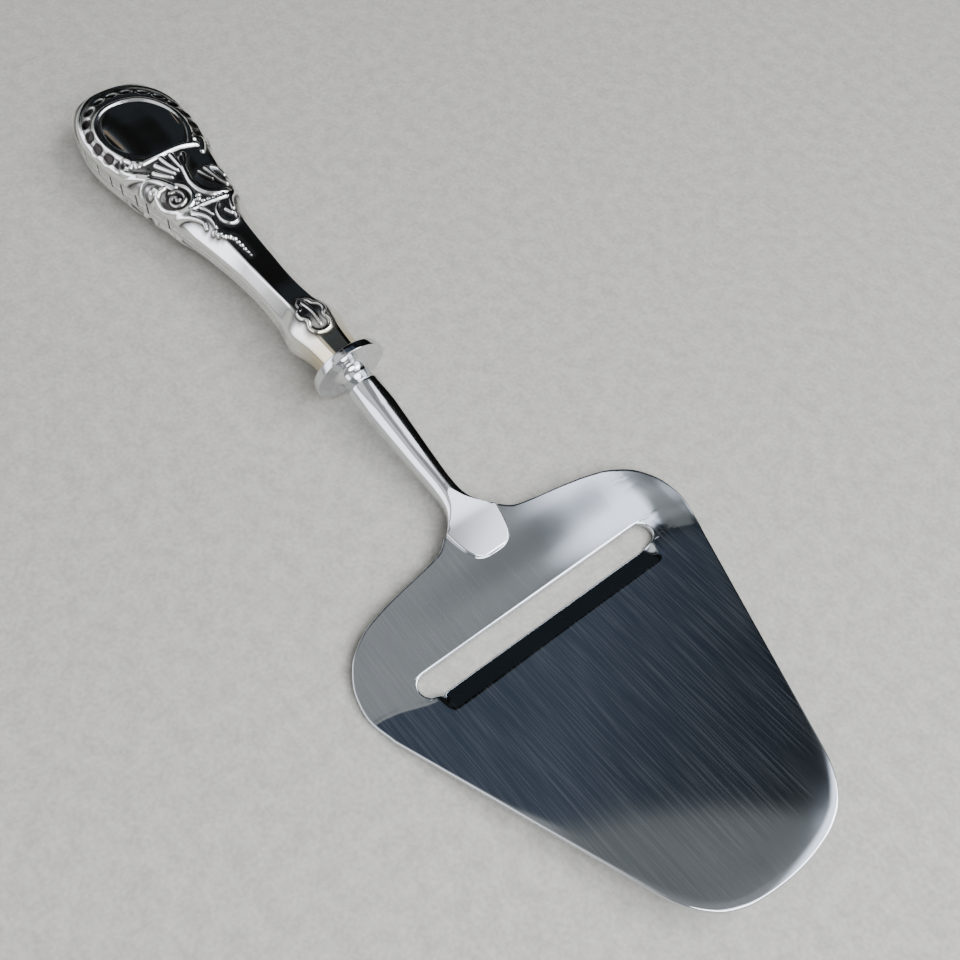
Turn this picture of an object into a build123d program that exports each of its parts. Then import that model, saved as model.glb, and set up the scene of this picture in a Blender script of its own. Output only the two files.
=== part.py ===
from build123d import *
from math import asin, cos, degrees, pi, radians, sin, tan
import os

# Cheese slicer lying face up on a table, millimetres, +X toward the blade's tip, +Z up.
# It rests on the lip of its slot and on the broad end of its handle, with the tip a little raised.

# Blade: one sheet of stainless steel, bent along its slot.
blade_length = 83.4
blade_width = 76.8
plate_thickness = 1.2
slot_length = 56.4
slot_width = 4.7
slot_rear_share = 0.2255
lip_length = 4.0
lip_edge_thickness = 0.25
lip_bend_share = 0.3
bend_clearance = 0.58
rear_height = 3.9
front_rise_angle = 5.5

# Shank: one forging with a lapped tongue, a tapered stem, a neck, a bolster disc and a tang.
shank_reach = 39.3
tongue_length = 7.8
tongue_width = 12.2
tongue_thickness = 0.9
facet_angle = 12.4
stem_diameter = 7.4
neck_diameter = 6.2
neck_length = 4.3
neck_fillet = 1.1
bolster_diameter = 16.0
bolster_thickness = 2.0
bolster_softening = 0.45
bolster_height = 9.1
bolster_pitch = 9.9
tang_length = 64.0
tang_width = 5.2
tang_tip_share = 0.6
stem_sides = 24

# Handle: two struck silver shells soldered together around a cement core.
handle_length = 101.6
handle_width = 25.2
handle_thickness = 14.6
handle_rest_share = 0.80
shell_thickness = 0.8
side_flat_share = 0.38
relief_height = 0.6
relief_side_share = 0.4
notch_width = 0.55
notch_depth = 0.5
notch_shares = (0.495, 0.556, 0.59, 0.627, 0.657, 0.702, 0.761)

# Handle stations: distance behind the bolster, width, thickness, part of the width flat on top.
handle_station_shares = (
    (-0.02, 0.365, 0.62, 0.46),
    (0.03, 0.368, 0.63, 0.46),
    (0.08, 0.400, 0.70, 0.48),
    (0.13, 0.480, 0.85, 0.48),
    (0.175, 0.410, 0.72, 0.46),
    (0.24, 0.372, 0.62, 0.46),
    (0.32, 0.390, 0.62, 0.46),
    (0.41, 0.468, 0.67, 0.46),
    (0.50, 0.588, 0.76, 0.48),
    (0.59, 0.722, 0.86, 0.54),
    (0.68, 0.868, 0.94, 0.60),
    (0.76, 0.972, 0.99, 0.64),
    (0.82, 1.000, 1.00, 0.66),
    (0.88, 0.965, 0.94, 0.66),
    (0.93, 0.845, 0.79, 0.66),
    (0.965, 0.660, 0.58, 0.62),
    (0.988, 0.400, 0.34, 0.58),
    (1.0, 0.150, 0.16, 0.56),
)

# Stem stations: run from neck to blade, half width and half thickness over the stem's radius,
# part of the way from the bolster's line to the blade's level.
stem_station_shares = (
    (0.0, 1.0, 1.0, 0.0),
    (0.16, 0.93, 0.93, 0.0),
    (0.36, 0.83, 0.83, 0.01),
    (0.56, 0.73, 0.72, 0.08),
    (0.74, 0.65, 0.65, 0.28),
    (0.81, 0.67, 0.60, 0.42),
    (0.87, 0.78, 0.53, 0.57),
    (0.93, 1.07, 0.44, 0.78),
    (0.965, 1.32, 0.38, 0.90),
)

# Half outline of the blade: part of its length, part of its half width.
rear_outline_shares = (
    (0.0, 0.175),
    (0.016, 0.215),
    (0.034, 0.345),
    (0.046, 0.500),
    (0.060, 0.650),
    (0.086, 0.810),
    (0.130, 0.925),
    (0.180, 0.982),
    (0.230, 1.0),
    (0.308, 0.969),
)
tip_outline_shares = (
    (0.860, 0.521),
    (0.889, 0.494),
    (0.917, 0.458),
    (0.956, 0.380),
    (0.981, 0.280),
    (0.995, 0.150),
    (1.0, 0.0),
)
# Fall of the rear plate from its back edge to the bend: part of the run, part of the drop.
rear_profile_shares = (
    (0.0, 0.0),
    (0.25, 0.37),
    (0.5, 0.67),
    (0.72, 0.91),
    (0.86, 1.02),
    (0.94, 1.04),
    (1.0, 1.0),
)
# Half outline of the tongue: part of its length, part of its half width.
tongue_outline_shares = ((0.0, 1.0), (0.3, 0.96), (0.7, 0.80), (0.93, 0.50), (1.0, 0.0))

# Struck relief, as parts of the handle's length along it and of its half width across it.
# Rings: along, across, radius, band. Ovals: along, across, length, width, turn in degrees.
small_sides = 6
ring_sides = 8
cartouche_sides = 24
cartouche_centre_share = 0.765
cartouche_length_share = 0.80
cartouche_width_share = 0.70
cartouche_band_share = 0.11
cartouche_bar_share = 0.684
bar_width_share = 0.52
border_share = 0.498
border_band_share = 0.07
border_width_share = 0.56
lobe_reach_shares = (0.134, 0.865)
lobe_size_shares = (0.10, 0.085)
lobe_turns = (-126, -105, -84, -63, -42, -21, 0, 21, 42, 63, 84, 105, 126)
palmette_centre_share = 0.588
palmette_reach_shares = (0.052, 0.40)
palmette_size_shares = (0.19, 0.055)
palmette_turns = (-50, -25, 0, 25, 50)
paired_ring_shares = (
    (0.668, 0.60, 0.15, 0.07),
    (0.552, 0.39, 0.31, 0.08),
    (0.545, 0.39, 0.14, 0.07),
    (0.600, 0.66, 0.14, 0.07),
    (0.462, 0.27, 0.17, 0.06),
)
paired_oval_shares = (
    (0.525, 0.10, 0.045, 0.045, 0),
    (0.513, 0.20, 0.045, 0.045, 0),
    (0.120, 0.20, 0.16, 0.05, 30),
)
middle_oval_shares = (
    (0.430, 0.0, 0.115, 0.080, 0),
    (0.4095, 0.0, 0.101, 0.070, 0),
    (0.389, 0.0, 0.087, 0.061, 0),
    (0.3685, 0.0, 0.071, 0.050, 0),
    (0.348, 0.0, 0.055, 0.038, 0),
    (0.145, 0.0, 0.18, 0.06, 0),
    (0.078, 0.0, 0.05, 0.10, 0),
)

# Places and heights that follow from the dimensions above.
blade_rear = shank_reach
blade_tip = shank_reach + blade_length
blade_half = blade_width / 2
slot_rear = blade_rear + slot_rear_share * blade_length
cutting_edge = slot_rear + slot_width
lip_root = cutting_edge + lip_length
front_start = lip_root - lip_bend_share * lip_length
front_height = plate_thickness + bend_clearance
handle_half = handle_width / 2


def front_top(x):
    """Height of the flat front plate's top face."""
    return front_height + (x - front_start) * tan(radians(front_rise_angle))


def blade_points(shares):
    """Plan positions on the blade."""
    return [(blade_rear + along * blade_length, across * blade_half) for along, across in shares]


plate_top = max(rear_height, front_top(blade_tip))
rear_run = front_start - blade_rear
rear_drop = rear_height - front_height
rear_profile = [
    (blade_rear + run * rear_run, rear_height - drop * rear_drop)
    for run, drop in rear_profile_shares
]


def both_sides(half):
    """Points of a half outline that ends on the middle line, carried on over its mirror image."""
    return half + [(x, -y) for x, y in reversed(half[:-1])]


def layer(low, high):
    """Sheet that follows the blade's top face between two heights above it."""
    edges = []
    starts = []
    tips = []
    for offset in (low, high):
        points = [(x, z + offset) for x, z in rear_profile]
        tip = (blade_tip, front_top(blade_tip) + offset)
        edges.append(Spline(*points))
        edges.append(Line(points[-1], tip))
        starts.append(points[0])
        tips.append(tip)
    edges.append(Line(*starts))
    edges.append(Line(*tips))
    return extrude(Plane.XZ * make_face(edges), amount=blade_width, both=True)


def upright(plan):
    """Prism on a plan sketch, tall enough to pass the whole blade."""
    return Pos(0, 0, -plate_top) * extrude(plan, amount=3 * plate_top)


# Blade plate
rear_points = blade_points(rear_outline_shares)
tip_points = blade_points(tip_outline_shares)
blade_edges = [Spline(*both_sides(tip_points))]
for side in (-1, 1):
    points = [(x, side * y) for x, y in rear_points]
    blade_edges.append(Spline(*points))
    blade_edges.append(Line(points[-1], (tip_points[0][0], side * tip_points[0][1])))
blade_edges.append(Line(rear_points[0], (rear_points[0][0], -rear_points[0][1])))
blade = layer(-plate_thickness, 0) & upright(make_face(blade_edges))

# The slot is a stadium across the blade, and its front edge is a lip bent down and thinned.
slot_plan = Pos((slot_rear + cutting_edge) / 2, 0) * Rot(0, 0, 90) * SlotOverall(slot_length, slot_width)
lip_half = (slot_length - slot_width) / 2
lip_plan = Pos((cutting_edge + lip_root) / 2, 0) * Rectangle(lip_length, 2 * lip_half)
blade -= upright(slot_plan) + upright(lip_plan)
lip_corners = [
    (cutting_edge, 0),
    (cutting_edge, lip_edge_thickness),
    (lip_root, front_top(lip_root)),
    (lip_root, front_top(lip_root) - plate_thickness),
]
lip_face = make_face(Polyline(*lip_corners, close=True))
blade += extrude(Plane.XZ * lip_face, amount=lip_half, both=True)

def many_sided(half_long, half_wide, sides):
    """Oval drawn with straight sides."""
    corners = []
    for step in range(sides):
        angle = 2 * pi * (step + 1 / 2) / sides
        corners.append((half_long * cos(angle), half_wide * sin(angle)))
    return make_face(Polyline(*corners, close=True))


# Bolster disc and neck
bolster_frame = Plane(
    origin=(0, 0, bolster_height),
    x_dir=(0, 1, 0),
    z_dir=(cos(radians(bolster_pitch)), 0, -sin(radians(bolster_pitch))),
)
bolster_radius = bolster_diameter / 2
bolster_flat = bolster_radius - bolster_softening
neck_radius = neck_diameter / 2
neck_root = neck_radius + neck_fillet
neck_top = neck_length + neck_fillet
turned = [
    (0, -bolster_thickness),
    (bolster_flat, -bolster_thickness),
    (bolster_radius, -bolster_thickness + bolster_softening),
    (bolster_radius, -bolster_softening),
    (bolster_flat, 0),
    (neck_root, 0),
    (neck_radius + (1 - cos(pi / 6)) * neck_fillet, neck_fillet / 2),
    (neck_radius, neck_fillet),
    (neck_radius, neck_top),
    (0, neck_top),
]
bolster = bolster_frame * revolve(Plane.XZ * make_face(Polyline(*turned, close=True)), Axis.Z)

# Stem
stem_start = neck_length * cos(radians(bolster_pitch))
stem_radius = stem_diameter / 2
end_top = rear_height + tongue_thickness
end_bottom = rear_height - plate_thickness
end_half = (end_top - end_bottom) / 2
end_drop = (end_top + end_bottom) / 2 - bolster_height + shank_reach * tan(radians(bolster_pitch))


def stem_section(run, half_wide, half_thick, drop):
    """Oval section of the stem, square to its slightly curved line."""
    x = stem_start + run * (shank_reach - stem_start)
    z = bolster_height - x * tan(radians(bolster_pitch)) + drop * end_drop
    lean = bolster_pitch * (1 - run)
    frame = Plane(
        origin=(x, 0, z), x_dir=(0, 1, 0), z_dir=(cos(radians(lean)), 0, -sin(radians(lean)))
    )
    return frame * many_sided(half_wide, half_thick, stem_sides)


sections = [
    stem_section(run, wide * stem_radius, thick * stem_radius, drop)
    for run, wide, thick, drop in stem_station_shares
]
sections.append(stem_section(1, tongue_width / 2, end_half, 1))
stem = loft(sections, ruled=True)
# A flat ground on the stem's top runs into the tongue.
facet_block = Box(shank_reach, tongue_width, bolster_height, align=(Align.MAX, Align.CENTER, Align.MIN))
stem -= Pos(shank_reach, 0, end_top) * Rot(0, facet_angle, 0) * facet_block

# Tongue lapped over the blade
tongue_points = [
    (shank_reach + along * tongue_length, across * tongue_width / 2)
    for along, across in tongue_outline_shares
]
tongue_round = both_sides(tongue_points)
tongue_plan = make_face([Spline(*tongue_round), Line(tongue_round[0], tongue_round[-1])])
tongue = layer(0, tongue_thickness) & upright(tongue_plan)

# The handle's axis rises gently from the broad end's resting point to the bolster.
rest_height = handle_thickness / 2 + relief_height
handle_pitch = degrees(asin((bolster_height - rest_height) / (handle_rest_share * handle_length)))
handle_frame = Pos(0, 0, bolster_height) * Rot(0, -handle_pitch, 0)

# Tang inside the handle
tang_root_face = Plane.YZ.offset(-bolster_thickness / 2) * Rectangle(tang_width, tang_width)
tang_tip_width = tang_width * tang_tip_share
tang_tip_face = Plane.YZ.offset(-tang_length) * Rectangle(tang_tip_width, tang_tip_width)
tang = handle_frame * loft([tang_root_face, tang_tip_face])
shank = bolster + stem + tongue + tang - blade


def handle_half_loft(inset, lift, ruled=False):
    """Half of the handle above its seam, shrunk or raised from the true surface."""
    faces = []
    for along, wide, thick, flat in handle_station_shares:
        a = wide * handle_half - inset + relief_side_share * lift
        b = thick * handle_thickness / 2 - inset + lift
        if along * handle_length > handle_length - inset or min(a, b) <= inset:
            continue
        corners = [
            (a, 0),
            (a, side_flat_share * b),
            (flat * a, b),
            (-flat * a, b),
            (-a, side_flat_share * b),
            (-a, 0),
        ]
        plane = Plane(origin=(-along * handle_length, 0, 0), x_dir=(0, -1, 0), z_dir=(-1, 0, 0))
        faces.append(plane * make_face(Polyline(*corners, close=True)))
    return loft(faces, ruled=ruled)


outer_half = handle_half_loft(0, 0)
inner_half = handle_half_loft(shell_thickness, 0, ruled=True)
raised_half = handle_half_loft(0, relief_height)


def at(along, across):
    """Plan position on the handle."""
    return Pos(-along * handle_length, across * handle_half)


def oval(along, across, length, width, turn, sides=small_sides):
    """Plan oval of the relief, cut with short straight sides as a die sinker's punch leaves it."""
    place = at(along, across) * Rot(0, 0, turn)
    return place * many_sided(length * handle_half, width * handle_half, sides)


def ring(along, across, radius, band):
    """Plan ring of the relief."""
    inner = radius - band
    outer_plan = oval(along, across, radius, radius, 0, ring_sides)
    return outer_plan - oval(along, across, inner, inner, 0, ring_sides)


# An oval cartouche, open toward the blade where a bar closes it
cartouche_outer = (cartouche_length_share, cartouche_width_share)
cartouche_inner = [share - cartouche_band_share for share in cartouche_outer]
cartouche = oval(cartouche_centre_share, 0, *cartouche_outer, 0, cartouche_sides)
cartouche -= oval(cartouche_centre_share, 0, *cartouche_inner, 0, cartouche_sides)
butt_side = Rectangle(
    (1 - cartouche_bar_share) * handle_length, handle_width, align=(Align.MAX, Align.CENTER)
)
relief = cartouche & (at(cartouche_bar_share, 0) * butt_side)
relief += at(cartouche_bar_share, 0) * Rectangle(
    cartouche_band_share * handle_half, bar_width_share * handle_width
)
relief += at(border_share, 0) * Rectangle(
    border_band_share * handle_half, border_width_share * handle_width
)

# Lobes around the cartouche and the rays of the palmette below it
for turn in lobe_turns:
    along = cartouche_centre_share + lobe_reach_shares[0] * cos(radians(turn))
    relief += oval(along, lobe_reach_shares[1] * sin(radians(turn)), *lobe_size_shares, -turn)
for turn in palmette_turns:
    along = palmette_centre_share + palmette_reach_shares[0] * cos(radians(turn))
    relief += oval(along, palmette_reach_shares[1] * sin(radians(turn)), *palmette_size_shares, -turn)

# Scrolls, beads, drops and the leaf on the bulb
for side in (-1, 1):
    for along, across, radius, band in paired_ring_shares:
        relief += ring(along, side * across, radius, band)
    for along, across, length, width, turn in paired_oval_shares:
        relief += oval(along, side * across, length, width, side * turn)
for along, across, length, width, turn in middle_oval_shares:
    relief += oval(along, across, length, width, turn)
half_shell = outer_half + (extrude(relief, amount=handle_thickness) & raised_half)


def half_width_at(share):
    """Handle's half width between its stations."""
    for before, after in zip(handle_station_shares, handle_station_shares[1:]):
        if before[0] <= share < after[0]:
            blend = (share - before[0]) / (after[0] - before[0])
            return (before[1] + blend * (after[1] - before[1])) * handle_half
    return handle_half


# Short notches cross the side flats where the relief runs out.
notch = Box(notch_width, 2 * notch_depth, handle_thickness)
for share in notch_shares:
    for side in (-1, 1):
        half_shell -= Pos(-share * handle_length, side * half_width_at(share), 0) * notch
half_shell -= inner_half

# The shells and the core stop at the bolster's rear face.
clear_size = 3 * bolster_diameter
clear = Cylinder(clear_size, clear_size, align=(Align.CENTER, Align.CENTER, Align.MIN))
clear = bolster_frame * Pos(0, 0, -bolster_thickness) * clear
front_shell = handle_frame * half_shell - clear
back_shell = handle_frame * mirror(half_shell, Plane.XY) - clear
core = handle_frame * (inner_half + mirror(inner_half, Plane.XY)) - clear - tang

# The slicer is set down with its box centred on the origin in plan and its lowest point at zero.
nodes = {
    "blade_plate": blade,
    "shank": shank,
    "handle_front_shell": front_shell,
    "handle_back_shell": back_shell,
    "handle_filler": core,
}
everything = Compound([solid for part in nodes.values() for solid in part.solids()])
box = everything.bounding_box()
settle = Pos(-box.center().X, 0, -box.min.Z)
os.makedirs("parts", exist_ok=True)
for name, part in nodes.items():
    export_step(Compound((settle * part).solids()), f"parts/{name}.step")
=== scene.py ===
import math

import bmesh
import bpy
import numpy as np
from mathutils import Matrix


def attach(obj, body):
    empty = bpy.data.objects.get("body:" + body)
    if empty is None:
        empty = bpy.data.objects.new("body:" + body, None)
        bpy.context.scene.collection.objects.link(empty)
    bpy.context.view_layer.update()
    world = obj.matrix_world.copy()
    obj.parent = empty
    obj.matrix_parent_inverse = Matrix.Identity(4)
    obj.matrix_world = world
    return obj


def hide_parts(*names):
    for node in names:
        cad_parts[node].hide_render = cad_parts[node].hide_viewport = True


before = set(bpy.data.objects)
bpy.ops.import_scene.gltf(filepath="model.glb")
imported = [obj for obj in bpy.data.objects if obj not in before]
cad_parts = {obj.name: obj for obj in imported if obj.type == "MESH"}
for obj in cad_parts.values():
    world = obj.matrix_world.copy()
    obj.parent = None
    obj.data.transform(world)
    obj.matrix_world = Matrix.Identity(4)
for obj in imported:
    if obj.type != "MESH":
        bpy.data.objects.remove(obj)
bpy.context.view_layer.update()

# Blade: one spade-shaped sheet of stainless steel, 1.2 mm, blanked with its slot, bent along the slot and
# pressed down in front of it into a thin cutting lip. Its faces are brushed lengthwise, its edges tumbled round.
blade_length = 83.4
blade_half = 38.4
blade_rear = 39.3
blade_thickness = 1.2
rear_height = 3.9
front_height = 1.78
front_rise = math.radians(5.5)
bend_behind_lip_root = 1.2
cutting_edge = 62.807
lip_root = 66.807
lip_half = 25.85
lip_thickness = 0.25
slot_width = 4.7
lip_twist = 2.4
edge_round = 0.34
crown_drop = 0.034
crown_reach = 1.7
disc_ahead_of_origin = -10.547
lift_to_table = 0.031
rear_outline = [(0.0, 0.175), (0.016, 0.215), (0.034, 0.345), (0.046, 0.5), (0.06, 0.65), (0.086, 0.81),
                (0.13, 0.925), (0.18, 0.982), (0.23, 1.0), (0.308, 0.969)]
tip_outline = [(0.86, 0.521), (0.889, 0.494), (0.917, 0.458), (0.956, 0.38), (0.981, 0.28), (0.995, 0.15),
               (1.0, 0.0), (0.995, -0.15)]
bend_line = [(-38.4, 62.0), (-36.0, 62.2), (-33.0, 62.9), (-30.0, 64.2), (-27.0, 65.3), (-25.0, 65.6),
             (25.0, 65.6), (27.0, 65.4), (29.5, 65.2), (31.5, 65.6), (34.0, 66.8), (36.0, 67.8), (38.4, 68.8)]
rear_profile = [(0.0, 0.0), (0.25, 0.37), (0.5, 0.67), (0.72, 0.91), (0.86, 1.02), (0.94, 1.04), (1.0, 1.0)]


def smooth_through(knots, values, at):
    """Cubic line through the knots, without corners."""
    knots, values, at = (np.asarray(item, float) for item in (knots, values, at))
    slopes = np.gradient(values, knots)
    i = np.clip(np.searchsorted(knots, at) - 1, 0, len(knots) - 2)
    run = knots[i + 1] - knots[i]
    t = np.clip((at - knots[i]) / run, 0, 1)
    return (values[i] * (1 + 2 * t) * (1 - t) ** 2 + slopes[i] * run * t * (1 - t) ** 2
            + values[i + 1] * t * t * (3 - 2 * t) + slopes[i + 1] * run * t * t * (t - 1))


def through(points, count):
    """Points along a smooth line."""
    points = np.asarray(points, float)
    steps = np.r_[0, np.cumsum(np.linalg.norm(np.diff(points, axis=0), axis=1))]
    at = np.linspace(0, steps[-1], count)
    return np.stack([smooth_through(steps, points[:, k], at) for k in range(points.shape[1])], axis=1)


def plate_top(x, y=0.0):
    """Height of the blade's upper face: a curved rear part that meets the flat front part along the bend."""
    bend = np.interp(y, *np.array(bend_line).T)
    slope = math.tan(front_rise)
    at_bend = front_height + (bend - lip_root + bend_behind_lip_root) * slope
    share = np.clip((x - blade_rear) / (bend - blade_rear), 0, 1)
    fall = smooth_through([a for a, _ in rear_profile], [b for _, b in rear_profile], share)
    return np.where(x > bend, at_bend + (x - bend) * slope,
                    rear_height - fall * (rear_height - at_bend))


def placed(points):
    """Millimetres ahead of the bolster disc, turned into the frame's metres."""
    return (np.array(points, float) + [disc_ahead_of_origin, 0, lift_to_table]) / 1000


def write_points(obj, points):
    obj.data.vertices.foreach_set("co", np.ascontiguousarray(points, dtype=np.float32).ravel())
    obj.data.update()


def read_points(obj):
    points = np.empty(len(obj.data.vertices) * 3, dtype=np.float32)
    obj.data.vertices.foreach_get("co", points)
    return points.reshape(-1, 3).astype(float)


def half_width(x):
    """Half width of the blade at a place along it: round shoulders, straight sides, round tip."""
    u = np.clip((x - blade_rear) / blade_length, 0, 1)
    (side_start, wide), (side_end, narrow) = rear_outline[-1], tip_outline[0]
    rear = np.interp(u, *through(rear_outline, 400).T)
    side = wide + (narrow - wide) * (u - side_start) / (side_end - side_start)
    tip = through(tip_outline, 400)
    tip = tip[tip[:, 1] >= 0]
    return blade_half * np.where(u < side_start, rear, np.where(u < side_end, side, np.interp(u, *tip.T)))


# The sheet is a net of rows across and columns along, close together at every edge that is rounded.
near = np.array([0, 0.05, 0.11, 0.18, 0.26, 0.36, 0.5])
slot_rear = cutting_edge - slot_width
slot_middle = cutting_edge - slot_width / 2
cap = slot_middle - slot_width / 2 * np.cos(np.linspace(0, math.pi, 25))
tip_round = blade_rear + blade_length - 3.7 * (1 - np.sin(np.linspace(0, math.pi / 2, 34)))
rows = np.unique(np.round(np.concatenate([
    blade_rear + near, np.linspace(40.0, 57.4, 88), slot_rear - near, cap, cutting_edge + near,
    np.linspace(63.5, 68.5, 14), np.linspace(69.5, 118.8, 48), tip_round]), 4))
in_slot = (rows > slot_rear - 0.001) & (rows < cutting_edge + 0.001)
slot_end = lip_half + np.sqrt(np.clip((slot_width / 2) ** 2 - (rows - slot_middle) ** 2, 0, None)) * in_slot
widths = half_width(rows)
widths[-1] = 0
inner = np.concatenate([np.linspace(0, 22, 10), np.linspace(22.5, 25.5, 9)])
from_edge = np.array([2.3, 1.8, 1.3, 0.9, 0.5, 0.36, 0.26, 0.18, 0.11, 0.05, 0])
columns = []
for width, line in zip(widths, slot_end):
    # Wide rows follow the slot's end and the outline; rows too narrow for the slot are spread evenly.
    middle = np.linspace(line + 1.6, max(width - 2.8, line + 2.0), 7)
    outer = width - from_edge
    half = np.concatenate([inner * line / lip_half, line + near, [line + 0.85], middle, outer])
    even = np.linspace(0, 1, len(half) - len(outer)) * max(width - 2.5, 0.8 * width)
    last = np.linspace(0.05, 1, len(outer)) * (width - even[-1])
    even = np.concatenate([even, np.maximum(outer, even[-1] + last)])
    wide = np.clip((width - lip_half - 5) / 5, 0, 1)
    half = half * wide + even * (1 - wide) if wide > 0 else even
    columns.append(np.concatenate([-half[::-1][:-1], half]))
columns = np.array(columns)
count_x, count_y = len(rows), columns.shape[1]
net = np.stack([np.repeat(rows[:, None], count_y, axis=1), columns], axis=2).reshape(-1, 2)

bpy.ops.object.select_all(action="DESELECT")
bpy.ops.mesh.primitive_grid_add(x_subdivisions=count_y - 1, y_subdivisions=count_x - 1, size=0.08)
blade = bpy.context.object
blade.name = "blade"
bpy.ops.object.mode_set(mode="EDIT")
sheet = bmesh.from_edit_mesh(blade.data)
for corner, place in zip(sheet.verts, net):
    corner.co = (place[0] / 1000, place[1] / 1000, 0)
for face in sheet.faces:
    middle = face.calc_center_median() * 1000
    reach = 0
    if slot_rear < middle.x < cutting_edge:
        reach = lip_half + math.sqrt(max((slot_width / 2) ** 2 - (middle.x - slot_middle) ** 2, 0))
    face.select = abs(middle.y) < reach
bpy.ops.mesh.delete(type="FACE")
bpy.ops.mesh.select_all(action="SELECT")
bpy.ops.mesh.remove_doubles(threshold=0.000002)
bpy.ops.mesh.select_all(action="SELECT")
bpy.ops.mesh.extrude_region_move(TRANSFORM_OT_translate={"value": (0, 0, -0.001)})
bpy.ops.mesh.select_all(action="SELECT")
bpy.ops.mesh.normals_make_consistent(inside=False)
bpy.ops.object.mode_set(mode="OBJECT")


def line_distance(x, y, a, b):
    """How far each place is from the straight line between two points."""
    run = b - a
    t = np.clip(((x - a[0]) * run[0] + (y - a[1]) * run[1]) / max(run @ run, 1e-9), 0, 1)
    return np.hypot(x - a[0] - t * run[0], y - a[1] - t * run[1])


def rim_distance(x, y, loop):
    """How far each place is from one closed edge of the sheet."""
    nearest = np.full(len(x), 99.0)
    for a, b in zip(loop, np.roll(loop, -1, axis=0)):
        nearest = np.minimum(nearest, line_distance(x, y, a, b))
    return nearest


def rounded_drop(rim, radius):
    """How far a rounded edge falls below the face."""
    return np.where(rim < radius, radius - np.sqrt(np.clip(radius ** 2 - (radius - rim) ** 2, 0, None)), 0)


half = np.stack([rows, widths], axis=1)
outline = np.concatenate([half, half[::-1][1:] * [1, -1]])
cap_half = np.sqrt(np.clip((slot_width / 2) ** 2 - (cap - slot_middle) ** 2, 0, None)) + lip_half
slot = np.concatenate([np.stack([cap, cap_half], axis=1), np.stack([cap[::-1], -cap_half], axis=1)])
flat = read_points(blade) * 1000
x, y = flat[:, 0], flat[:, 1]
rim = rim_distance(x, y, outline)
drop = rounded_drop(np.minimum(rim, rim_distance(x, y, slot)), edge_round)
# Toward the tip the last strip before the outline is polished slightly round.
drop = drop + crown_drop * np.clip(1 - rim / crown_reach, 0, 1) ** 2 * np.clip((x - 64) / 16, 0, 1)
# The lip is pressed down to a thin edge; its ends rise back to the plate in a short twist.
in_lip = np.clip((lip_half + 0.65 - np.abs(y)) / lip_twist, 0, 1) * (x < lip_root)
in_lip = in_lip * in_lip * (3 - 2 * in_lip) * np.clip((x - cutting_edge + 1.8) / 1.7, 0, 1)
lip_run = np.clip((x - cutting_edge) / (lip_root - cutting_edge), 0, 1)
lip_top = lip_thickness + (plate_top(lip_root) - lip_thickness) * lip_run
top = plate_top(x, y) * (1 - in_lip) + lip_top * in_lip
lip_thick = lip_thickness + (blade_thickness - lip_thickness) * lip_run
thick = blade_thickness * (1 - in_lip) + lip_thick * in_lip
upper = flat[:, 2] > -0.5
drop = drop * thick / blade_thickness
z = np.where(upper, top - drop, top - thick + 0.5 * drop)
write_points(blade, placed(np.stack([x, y, z], axis=1)))
brushing = blade.data.attributes.new("brushing", "FLOAT", "POINT")
brushing.data.foreach_set("value", (1 - in_lip).astype(np.float32))
bpy.ops.object.shade_smooth_by_angle(angle=math.radians(45))


def noise(tree, coords, scale, detail):
    node = tree.nodes.new("ShaderNodeTexNoise")
    node.inputs["Scale"].default_value, node.inputs["Detail"].default_value = scale, detail
    tree.links.new(coords, node.inputs["Vector"])
    return node.outputs[0]


def lines_group():
    """Fine parallel lines left by a belt or brush, running along X."""
    group = bpy.data.node_groups.new("brushed lines", "ShaderNodeTree")
    group.interface.new_socket("Fineness", in_out="INPUT", socket_type="NodeSocketFloat").default_value = 1.0
    group.interface.new_socket("Lines", in_out="OUTPUT", socket_type="NodeSocketFloat")
    group.interface.new_socket("Clouds", in_out="OUTPUT", socket_type="NodeSocketFloat")
    put, take = group.nodes.new("NodeGroupOutput"), group.nodes.new("NodeGroupInput")
    coords = group.nodes.new("ShaderNodeTexCoord").outputs["Object"]
    stretch = group.nodes.new("ShaderNodeMapping")
    stretch.inputs["Scale"].default_value = (75, 3900, 300)
    group.links.new(coords, stretch.inputs["Vector"])
    fine = noise(group, stretch.outputs[0], 1, 3)
    group.links.new(take.outputs["Fineness"], fine.node.inputs["Scale"])
    group.links.new(fine, put.inputs["Lines"])
    group.links.new(noise(group, coords, 60, 3), put.inputs["Clouds"])
    return group


def ranged(tree, value, low, high, start=0.0, end=1.0):
    """The value between start and end, carried over to low and high."""
    node = tree.nodes.new("ShaderNodeMapRange")
    node.inputs["From Min"].default_value, node.inputs["From Max"].default_value = start, end
    node.inputs["To Min"].default_value, node.inputs["To Max"].default_value = low, high
    tree.links.new(value, node.inputs["Value"])
    return node.outputs["Result"]


def blended(tree, factor, a, b):
    """Two colours, each a plain one or one that nodes make, mixed by the factor."""
    node = tree.nodes.new("ShaderNodeMix")
    node.data_type = "RGBA"
    tree.links.new(factor, node.inputs["Factor"])
    for socket, colour in ((node.inputs["A"], a), (node.inputs["B"], b)):
        if isinstance(colour, tuple):
            socket.default_value = (*colour, 1)
        else:
            tree.links.new(colour, socket)
    return node.outputs["Result"]


def calculated(tree, operation, *values):
    """One step of arithmetic on plain numbers and on values that nodes make."""
    node = tree.nodes.new("ShaderNodeMath")
    node.operation = operation
    for socket, value in zip(node.inputs, values):
        if isinstance(value, (int, float)):
            socket.default_value = value
        else:
            tree.links.new(value, socket)
    return node.outputs[0]


def bumped(tree, shader, height, strength, distance):
    node = tree.nodes.new("ShaderNodeBump")
    node.inputs["Strength"].default_value = strength
    node.inputs["Distance"].default_value = distance
    tree.links.new(height, node.inputs["Height"])
    tree.links.new(node.outputs["Normal"], shader.inputs["Normal"])


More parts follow.
